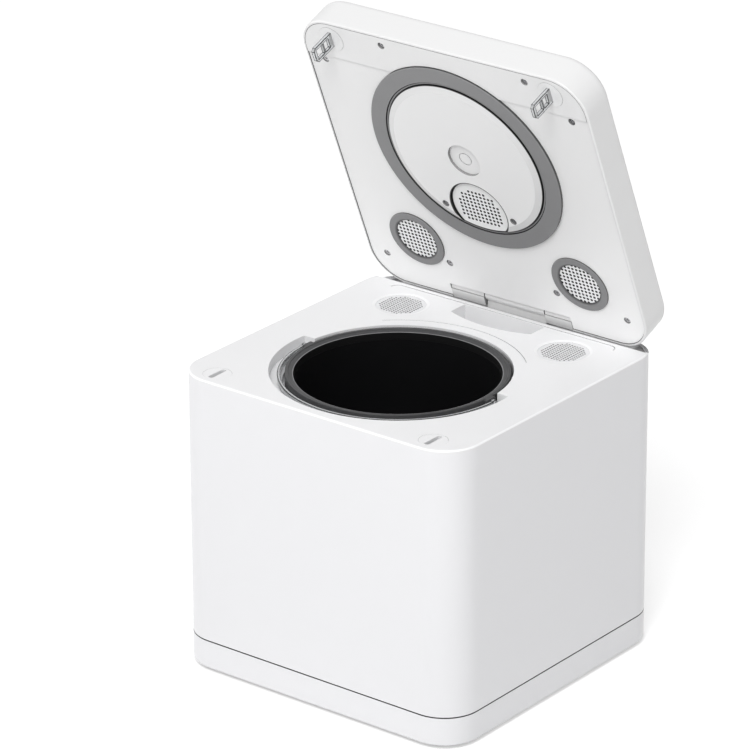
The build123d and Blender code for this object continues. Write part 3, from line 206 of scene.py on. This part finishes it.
class Finish:
    """A Principled material with helpers for its procedural detail."""

    def __init__(self, name, colour, roughness, metallic=0.0, ior=1.5):
        self.mat = bpy.data.materials.new(name)
        self.mat.use_nodes = True
        self.mat.diffuse_color = (*colour, 1)
        self.tree = self.mat.node_tree
        self.bsdf = self.tree.nodes["Principled BSDF"]
        self.colour = colour
        self.roughness = roughness
        self.put("Base Color", (*colour, 1))
        self.put("Roughness", roughness)
        self.put("Metallic", metallic)
        self.put("IOR", ior)
        place = self.add("ShaderNodeTexCoord")
        self.where = place.outputs["Object"]
        self.facing = place.outputs["Normal"]
        self.normal = None

    def put(self, socket, value):
        self.bsdf.inputs[socket].default_value = value

    def add(self, kind, **values):
        node = self.tree.nodes.new(kind)
        for key, value in values.items():
            setattr(node, key, value)
        return node

    def link(self, a, b):
        self.tree.links.new(a, b)

    def noise(self, scale, detail=3.0, roughness=0.5, stretch=None):
        """A noise field in the object's own coordinates, scale per metre."""
        node = self.add("ShaderNodeTexNoise")
        node.inputs["Scale"].default_value = scale
        node.inputs["Detail"].default_value = detail
        node.inputs["Roughness"].default_value = roughness
        where = self.where
        if stretch:
            squeeze = self.add("ShaderNodeMapping")
            squeeze.inputs["Scale"].default_value = stretch
            self.link(where, squeeze.inputs["Vector"])
            where = squeeze.outputs[0]
        self.link(where, node.inputs["Vector"])
        return node.outputs["Fac"]

    def cells(self, scale):
        """Voronoi cells in the object's own coordinates, scale per metre."""
        node = self.add("ShaderNodeTexVoronoi")
        node.inputs["Scale"].default_value = scale
        self.link(self.where, node.inputs["Vector"])
        return node

    def spread(self, field, low, high, start, end):
        """The field mapped from start..end to low..high."""
        node = self.add("ShaderNodeMapRange")
        node.inputs["From Min"].default_value = start
        node.inputs["From Max"].default_value = end
        node.inputs["To Min"].default_value = low
        node.inputs["To Max"].default_value = high
        self.link(field, node.inputs["Value"])
        return node.outputs[0]

    def vary_colour(self, field, other, start=0.3, end=0.7):
        """Base colour blends to another colour along a field."""
        blend = self.add("ShaderNodeMix", data_type="RGBA")
        blend.inputs["A"].default_value = (*self.colour, 1)
        blend.inputs["B"].default_value = (*other, 1)
        self.link(self.spread(field, 0.0, 1.0, start, end), blend.inputs["Factor"])
        self.link(blend.outputs["Result"], self.bsdf.inputs["Base Color"])

    def tint(self, field):
        """Base colour as it stands so far, multiplied by a field."""
        blend = self.add("ShaderNodeMix", data_type="RGBA", blend_type="MULTIPLY")
        blend.inputs["Factor"].default_value = 1.0
        socket = self.bsdf.inputs["Base Color"]
        if socket.is_linked:
            self.link(socket.links[0].from_socket, blend.inputs["A"])
        else:
            blend.inputs["A"].default_value = (*self.colour, 1)
        self.link(field, blend.inputs["B"])
        self.link(blend.outputs["Result"], socket)

    def paint_crease_shade(self, distance=0.004, darkest=0.12, start=0.12, end=0.5):
        """Painted shade: grooves, seams and holes go dark by how hollow they are."""
        hollow = self.add("ShaderNodeAmbientOcclusion", samples=6)
        hollow.inputs["Distance"].default_value = distance
        self.tint(self.spread(hollow.outputs["AO"], darkest, 1.0, start, end))

    def off_axis(self, point, axis):
        """Distance in metres from an axis through a point."""
        arm = self.add("ShaderNodeVectorMath", operation="SUBTRACT")
        arm.inputs[1].default_value = point
        self.link(self.where, arm.inputs[0])
        turn = self.add("ShaderNodeVectorMath", operation="CROSS_PRODUCT")
        turn.inputs[1].default_value = axis
        self.link(arm.outputs[0], turn.inputs[0])
        size = self.add("ShaderNodeVectorMath", operation="LENGTH")
        self.link(turn.outputs[0], size.inputs[0])
        return size.outputs["Value"]

    def axes(self):
        """The place in metres: X right, Y back, Z above the ground."""
        node = self.add("ShaderNodeSeparateXYZ")
        self.link(self.where, node.inputs[0])
        return node.outputs

    def height(self):
        """Height above the ground in metres."""
        return self.axes()["Z"]

    def darken_beyond(self, field, limit):
        """Painted shade where a field is over a limit."""
        self.tint(self.spread(field, 1.0, HOLE_SHADE, limit - FADE, limit))

    def darken_below(self, field, limit, darkest, fade=FADE):
        """Painted shade where a field is under a limit."""
        self.tint(self.spread(field, darkest, 1.0, limit, limit + fade))

    def darken_band(self, field, middle, half, darkest):
        """Painted shade within a narrow band of a field."""
        away = self.add("ShaderNodeMath", operation="SUBTRACT")
        away.inputs[1].default_value = middle
        self.link(field, away.inputs[0])
        size = self.add("ShaderNodeMath", operation="ABSOLUTE")
        self.link(away.outputs[0], size.inputs[0])
        self.tint(self.spread(size.outputs[0], darkest, 1.0, half, half + BAND_FADE))

    def times(self, a, b):
        """Product of two fields."""
        node = self.add("ShaderNodeMath", operation="MULTIPLY")
        self.link(a, node.inputs[0])
        self.link(b, node.inputs[1])
        return node.outputs[0]

    def shade_hollow(self, front, top, darkest, beside=0.0):
        """Level faces behind a line, under a height and this far out go darker."""
        place = self.axes()
        aside = self.add("ShaderNodeMath", operation="ABSOLUTE")
        self.link(place["X"], aside.inputs[0])
        back = self.spread(place["Y"], 0.0, 1.0, front, front + FADE)
        low = self.spread(place["Z"], 1.0, 0.0, top - FADE, top)
        wide = self.spread(aside.outputs[0], 0.0, 1.0, beside - TROUGH_FADE, beside)
        level = self.spread(self.along(UP), 0.0, 1.0, 0.8, 0.95)
        inside = self.times(self.times(back, low), self.times(wide, level))
        self.tint(self.spread(inside, 1.0, darkest, 0.0, 1.0))

    def along(self, axis):
        """How far a surface faces along an axis of the object."""
        node = self.add("ShaderNodeVectorMath", operation="DOT_PRODUCT")
        node.inputs[1].default_value = axis
        self.link(self.facing, node.inputs[0])
        size = self.add("ShaderNodeMath", operation="ABSOLUTE")
        self.link(node.outputs["Value"], size.inputs[0])
        return size.outputs[0]

    def paint_wall_shade(self, axis, darkest=0.03):
        """Painted shade: the walls of holes drilled along an axis go dark."""
        self.tint(self.spread(self.along(axis), darkest, 1.0, 0.35, 0.6))

    def paint_inside_shade(self, middle, darkest):
        """Painted shade: the inner side of a shell round this middle goes darker."""
        away = self.add("ShaderNodeVectorMath", operation="SUBTRACT")
        away.inputs[1].default_value = middle
        self.link(self.where, away.inputs[0])
        node = self.add("ShaderNodeVectorMath", operation="DOT_PRODUCT")
        self.link(away.outputs[0], node.inputs[0])
        self.link(self.facing, node.inputs[1])
        self.tint(self.spread(node.outputs["Value"], darkest, 1.0, -0.002, 0.0))

    def edge_mask(self, radius, start, end):
        """1 along the edges of a body, 0 on its flat faces."""
        soft = self.add("ShaderNodeBevel", samples=8)
        soft.inputs["Radius"].default_value = radius
        flat = self.add("ShaderNodeNewGeometry")
        node = self.add("ShaderNodeVectorMath", operation="DOT_PRODUCT")
        self.link(soft.outputs["Normal"], node.inputs[0])
        self.link(flat.outputs["True Normal"], node.inputs[1])
        return self.spread(node.outputs["Value"], 1.0, 0.0, 1.0 - end, 1.0 - start)

    def vary_roughness(self, field, swing):
        low = self.roughness - swing
        high = self.roughness + swing
        self.link(self.spread(field, low, high, 0.0, 1.0), self.bsdf.inputs["Roughness"])

    def bump(self, field, depth):
        """Relief of a real depth in metres. Calls stack up."""
        node = self.add("ShaderNodeBump")
        node.inputs["Distance"].default_value = depth
        self.link(field, node.inputs["Height"])
        if self.normal:
            self.link(self.normal, node.inputs["Normal"])
        self.normal = node.outputs["Normal"]
        self.link(self.normal, self.bsdf.inputs["Normal"])

    def round_edges(self, radius=EDGE_RADIUS):
        """Sharp edges catch light as if broken by this radius. Comes before bump."""
        node = self.add("ShaderNodeBevel", samples=6)
        node.inputs["Radius"].default_value = radius
        self.normal = node.outputs["Normal"]
        self.link(self.normal, self.bsdf.inputs["Normal"])

    def moulded_skin(self, edges=True):
        """The grain and faint changes of gloss of injection moulded plastic."""
        if edges:
            self.round_edges()
        self.bump(self.noise(600, 1.0), 4e-7)
        self.vary_roughness(self.noise(18, 1.0), 0.04)


def moulded(name, colour, roughness, edges=True, crease_shade=0.12):
    """Injection moulded plastic, its colour a little uneven, with painted shade in its creases."""
    f = Finish(name, colour, roughness)
    f.moulded_skin(edges)
    f.vary_colour(f.noise(5, 1.0), tuple(c * 0.985 for c in colour), 0.0, 1.0)
    if crease_shade:
        f.paint_crease_shade(darkest=crease_shade)
    return f


def deck_white():
    """The deck's white: its rounded edge is palest, a painted highlight, and its walls match the
    shell.
    """
    f = moulded("white_deck", WHITE_EDGE_HIGHLIGHT, SHELL_ROUGHNESS, edges=False)
    level = f.along(UP)
    f.tint(f.spread(level, WALL_TO_EDGE, 1.0, 0.15, 0.4))
    # Painted highlight: the level deck face is darker than its rounded edge.
    f.tint(f.spread(level, 1.0, DECK_TO_EDGE, 0.95, 0.985))
    # Painted shade in the pocket and at the ends of the trough.
    f.shade_hollow(POCKET_Y, POCKET_Z, 0.85)
    f.shade_hollow(TROUGH_Y, TROUGH_Z, 0.3, TROUGH_END_X)
    return f


def lid_white(name, crease_shade):
    """The lid's white, paler towards the hinge as painted light from the white deck below."""
    f = Finish(name, WHITE_INNER_PAINTED_LIGHT, INNER_ROUGHNESS)
    f.moulded_skin()
    f.vary_colour(f.height(), WHITE_TIP, LID_LOW_Z, LID_HIGH_Z)
    # Painted shade in creases, and on faces standing across the lid's face, such as steps and hole
    # walls.
    f.paint_crease_shade(darkest=crease_shade)
    f.paint_wall_shade(LID_OUT, 0.4)
    return f


def hinge_white():
    """The hinge's white: its barrels are shaded towards their undersides."""
    f = lid_white("white_hinge", 0.25)
    f.tint(f.spread(f.height(), 0.58, 1.0, HINGE_LOW_Z, HINGE_HIGH_Z))
    return f


def rim_plastic():
    """The bucket rim's grey, with a painted highlight line round its bore and painted shade down
    the bore.
    """
    f = Finish("rim_plastic", (0.06, 0.06, 0.062), 0.42)
    f.put("Specular IOR Level", 0.25)
    f.moulded_skin()
    bore = f.off_axis(WELL, UP)
    # Painted highlight round the bore, then painted shade below it.
    f.vary_colour(bore, (0.32, 0.32, 0.33), RIM_HIGHLIGHT_R, RIM_BORE_R + FADE)
    f.darken_below(bore, RIM_BORE_R, 0.02)
    return f


def clear_plastic():
    """Clear moulded plastic: see-through faces, painted dark along its edges for the dark that
    refraction shows there.
    """
    f = Finish("clear_plastic", (0.9, 0.91, 0.92), 0.06, ior=CLEAR_IOR)
    f.bump(f.noise(60, 1.0), 1.5e-5)
    f.vary_roughness(f.noise(90, 2.0), 0.02)
    # Painted dark along the edges, standing in for refraction.
    edge = f.edge_mask(0.0012, 0.0005, 0.006)
    f.vary_colour(edge, (0.012, 0.013, 0.014), 0.0, 1.0)
    clear = f.add("ShaderNodeBsdfTransparent")
    clear.inputs["Color"].default_value = (0.94, 0.95, 0.955, 1)
    glance = f.add("ShaderNodeFresnel")
    glance.inputs["IOR"].default_value = CLEAR_IOR
    body = f.spread(glance.outputs[0], 0.42, 0.85, 0.04, 0.6)
    solid = f.add("ShaderNodeMath", operation="MAXIMUM")
    f.link(body, solid.inputs[0])
    f.link(f.spread(edge, 0.0, 0.95, 0.0, 1.0), solid.inputs[1])
    mix = f.add("ShaderNodeMixShader")
    f.link(solid.outputs[0], mix.inputs[0])
    f.link(clear.outputs[0], mix.inputs[1])
    f.link(f.bsdf.outputs[0], mix.inputs[2])
    f.link(mix.outputs[0], f.tree.nodes["Material Output"].inputs["Surface"])
    return f.mat


def silicone(name="silicone"):
    """Matt grey silicone with a faint bloom of dust, and painted shade in creases and on its walls.
    """
    f = Finish(name, (0.232, 0.232, 0.236), 0.55)
    f.round_edges()
    f.bump(f.noise(1500, 2.0), 2.5e-6)
    f.vary_colour(f.noise(40, 3.0), (0.25, 0.25, 0.254), 0.1, 0.9)
    f.vary_roughness(f.noise(24, 3.0), 0.05)
    # Painted shade in creases and on walls across the lid's face.
    f.paint_crease_shade(0.003, 0.05, 0.15, 0.5)
    f.paint_wall_shade(LID_OUT, 0.2)
    return f


def vent_silicone():
    """The vent rings' silicone, with painted shade where it slopes in to the perforated disc."""
    f = silicone("vent_silicone")
    near = f.add("ShaderNodeMath", operation="MINIMUM")
    f.link(f.off_axis(VENT, LID_OUT), near.inputs[0])
    f.link(f.off_axis((-VENT[0], VENT[1], VENT[2]), LID_OUT), near.inputs[1])
    f.darken_below(near.outputs[0], VENT_LIP_R, 0.3, VENT_SLOPE)
    return f


def pot_coating():
    """Dark non-stick coat: smooth, glossy, with fine speckle."""
    f = Finish("pot_coating", (0.0025, 0.0025, 0.003), 0.3)
    f.put("Specular IOR Level", 0.22)
    speck = f.cells(900)
    f.vary_colour(speck.outputs["Distance"], (0.006, 0.006, 0.0065), 0.0, 0.25)
    f.bump(f.noise(900, 3.0), 2.5e-6)
    f.vary_roughness(f.noise(45, 3.0), 0.06)
    return f.mat


def metal(name, colour, roughness, stretch=(1, 1, 1), scale=700):
    """Metal with directional marks when stretch isn't even."""
    f = Finish(name, colour, roughness, metallic=1.0)
    f.round_edges()
    marks = f.noise(scale, 4.0, 0.6, stretch)
    f.bump(marks, 4e-6)
    f.vary_roughness(marks, 0.08)
    f.vary_colour(f.noise(30, 3.0), tuple(c * 0.88 for c in colour))
    return f.mat


def cast_alloy():
    """Die-cast alloy: a grainy skin with darker pits."""
    f = Finish("cast_alloy", (0.42, 0.42, 0.43), 0.48, metallic=1.0)
    f.round_edges(SOFT_EDGE_RADIUS)
    f.bump(f.noise(420, 6.0, 0.65), 5e-5)
    f.vary_colour(f.noise(180, 5.0, 0.7), (0.3, 0.3, 0.31))
    f.vary_roughness(f.noise(90, 3.0), 0.1)
    return f.mat


def felt():
    """Pressed felt: matted fibres in two scales."""
    f = Finish("felt", (0.58, 0.56, 0.52), 0.95)
    f.put("Sheen Weight", 0.3)
    f.bump(f.noise(240, 6.0, 0.75, (1, 1, 0.3)), 4e-4)
    f.vary_colour(f.noise(500, 5.0, 0.7), (0.42, 0.4, 0.37))
    return f.mat


def carbon():
    """Carbon granules bound into a block."""
    f = Finish("carbon", (0.012, 0.012, 0.013), 0.7)
    grains = f.cells(420)
    f.bump(grains.outputs["Distance"], 8e-4)
    f.vary_colour(grains.outputs["Distance"], (0.04, 0.04, 0.042), 0.0, 0.6)
    return f.mat


def rubber(name, colour):
    """Matt rubber with paler scuffs."""
    f = Finish(name, colour, 0.75)
    f.round_edges(SOFT_EDGE_RADIUS)
    f.bump(f.noise(1800, 3.0), 2e-5)
    f.vary_colour(f.noise(70, 4.0), tuple(c * 1.6 for c in colour))
    return f.mat


def circuit_board():
    """Green lacquer with a blocky pattern of traces."""
    f = Finish("circuit_board", (0.012, 0.11, 0.05), 0.38)
    traces = f.cells(190)
    traces.distance = "MANHATTAN"
    f.vary_colour(traces.outputs["Distance"], (0.03, 0.2, 0.09), 0.35, 0.4)
    f.bump(traces.outputs["Distance"], 4e-5)
    return f.mat


def gloss_panel():
    """Black gloss insert with a faint orange peel."""
    f = Finish("gloss_panel", (0.006, 0.006, 0.007), 0.07)
    f.put("Coat Weight", 0.5)
    f.put("Coat Roughness", 0.03)
    f.round_edges()
    f.bump(f.noise(500, 1.0), 3e-6)
    f.vary_colour(f.noise(40, 2.0), (0.01, 0.01, 0.012))
    return f.mat


def lens():
    """Milky clear lamp lens."""
    f = Finish("lens", (0.8, 0.86, 0.82), 0.18, ior=CLEAR_IOR)
    f.put("Transmission Weight", 0.6)
    f.bump(f.noise(900, 1.0), 1e-5)
    f.vary_colour(f.noise(300, 2.0), (0.7, 0.8, 0.72))
    return f.mat


def dress():
    """Every CAD node gets its material."""
    walls = moulded("white_walls", WHITE_SHELL, SHELL_ROUGHNESS, edges=False)
    # Painted shade along the seam over the base tray and at the ends of the trough.
    walls.darken_band(walls.height(), SEAM_Z, SEAM_HALF, SEAM_SHADE)
    walls.shade_hollow(TROUGH_Y, TROUGH_Z, 0.3, TROUGH_END_X)
    tray = moulded("white_tray", WHITE_SHELL, SHELL_ROUGHNESS, edges=False)
    # Painted shade along the seam and along the tray's foot.
    tray.darken_band(tray.height(), SEAM_Z, SEAM_HALF, SEAM_SHADE)
    tray.darken_below(tray.height(), TRAY_FOOT_Z, 0.15)
    # Heavy painted shade in the cover's creases and on its inner side.
    cover = moulded("white_cover", WHITE_LID, SHELL_ROUGHNESS, crease_shade=0.45)
    cover.paint_inside_shade(LID_MIDDLE, 0.3)
    disc = lid_white("white_disc", 0.12)
    # Painted shade on the disc's side, round the intake's opening and on the disc's sloping edge.
    disc.darken_beyond(disc.off_axis(DISC, LID_OUT), DISC_SIDE_R)
    disc.darken_band(disc.off_axis(INTAKE, LID_OUT), INTAKE_R, 0.0004, 0.03)
    disc.tint(disc.spread(disc.along(LID_OUT), CHAMFER_SHADE, 1.0, 0.955, 0.985))
    intake = moulded("white_intake", WHITE_INNER_PAINTED_LIGHT, INNER_ROUGHNESS, edges=False)
    # Painted shade on the walls of its holes, at the edge of its face and beyond the disc's sloping
    # edge.
    intake.paint_wall_shade(LID_OUT)
    intake.darken_beyond(intake.off_axis(INTAKE, LID_OUT), INTAKE_FACE_R)
    intake.darken_beyond(intake.off_axis(DISC, LID_OUT), DISC_BORE_R)
    vent_mesh = moulded("white_vent_mesh", WHITE_INNER_PAINTED_LIGHT, INNER_ROUGHNESS, edges=False)
    # Painted shade on the walls of the holes.
    vent_mesh.paint_wall_shade(LID_OUT)
    deck_mesh = moulded("white_deck_mesh", WHITE_SHELL, INNER_ROUGHNESS, edges=False)
    # Painted shade on the walls of the holes.
    deck_mesh.paint_wall_shade(UP, 0.35)
    grey_plastic = moulded("grey_plastic", (0.22, 0.22, 0.225), 0.45)
    black = moulded("black_plastic", (0.014, 0.014, 0.015), 0.4, crease_shade=0)
    gear = moulded("gear_plastic", (0.68, 0.66, 0.58), 0.4)
    button = moulded("button_grey", (0.5, 0.51, 0.53), 0.22)
    steel = metal("steel", (0.56, 0.56, 0.57), 0.26, (1, 1, 8))
    aluminium = metal("aluminium", (0.68, 0.68, 0.7), 0.32, (1, 1, 10), 300)
    bronze = metal("bronze", (0.52, 0.36, 0.17), 0.42)
    can = metal("motor_can", (0.36, 0.36, 0.37), 0.35, (1, 1, 14), 400)
    groups = {
        walls.mat: ("housing_shell",),
        tray.mat: ("base_tray",),
        deck_white().mat: ("deck_panel", "slot_plates"),
        cover.mat: ("lid_cover",),
        lid_white("white_panel", 0.25).mat: ("lid_inner_panel", "hub_cap", "hook_bases"),
        hinge_white().mat: ("hinge_bracket", "hinge_barrel_left", "hinge_barrel_right"),
        disc.mat: ("inner_disc",),
        intake.mat: ("centre_grille",),
        vent_mesh.mat: ("vent_grille_left", "vent_grille_right"),
        deck_mesh.mat: ("deck_grilles",),
        silicone().mat: ("main_gasket", "shaft_seal"),
        vent_silicone().mat: ("vent_ring_left", "vent_ring_right"),
        rim_plastic().mat: ("bucket_rim",),
        pot_coating(): ("bucket_pot",),
        clear_plastic(): ("bail_handle", "latch_hook_left", "latch_hook_right"),
        grey_plastic.mat: ("exhaust_duct", "rear_grille", "filter_canister_left",
                           "filter_canister_right"),
        black.mat: ("fan_housing", "fan_impeller", "power_inlet", "air_duct"),
        gear.mat: ("drive_gear",),
        button.mat: ("start_button",),
        gloss_panel(): ("control_panel",),
        lens(): ("indicator_lenses",),
        steel: ("base_screws", "heater_plate", "motor_pinion", "output_shaft", "hinge_pin",
                "handle_pins", "blade_shaft", "lock_bolt_left", "lock_bolt_right",
                "lid_screws", "lid_springs"),
        aluminium: ("well_liner",),
        bronze: ("shaft_bearings",),
        can: ("drive_motor", "lock_solenoids"),
        cast_alloy(): ("gearbox_housing", "gearbox_cover", "mixing_blade"),
        circuit_board(): ("power_board", "control_board"),
        felt(): ("insulation_sleeve",),
        carbon(): ("carbon_filters",),
        rubber("foot_rubber", (0.02, 0.02, 0.021)): ("rubber_feet",),
    }
    dressed = set()
    for material, names in groups.items():
        for name in names:
            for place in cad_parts[name].material_slots:
                place.material = material
            dressed.add(name)
    missing = set(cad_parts) - dressed
    if missing:
        raise SystemExit("no material for " + ", ".join(sorted(missing)))


new_camera()
new_world()
new_floor()
for lamp_facts in LAMPS:
    area_light(*lamp_facts)
dress()
bpy.context.scene.view_settings.view_transform = "Standard"
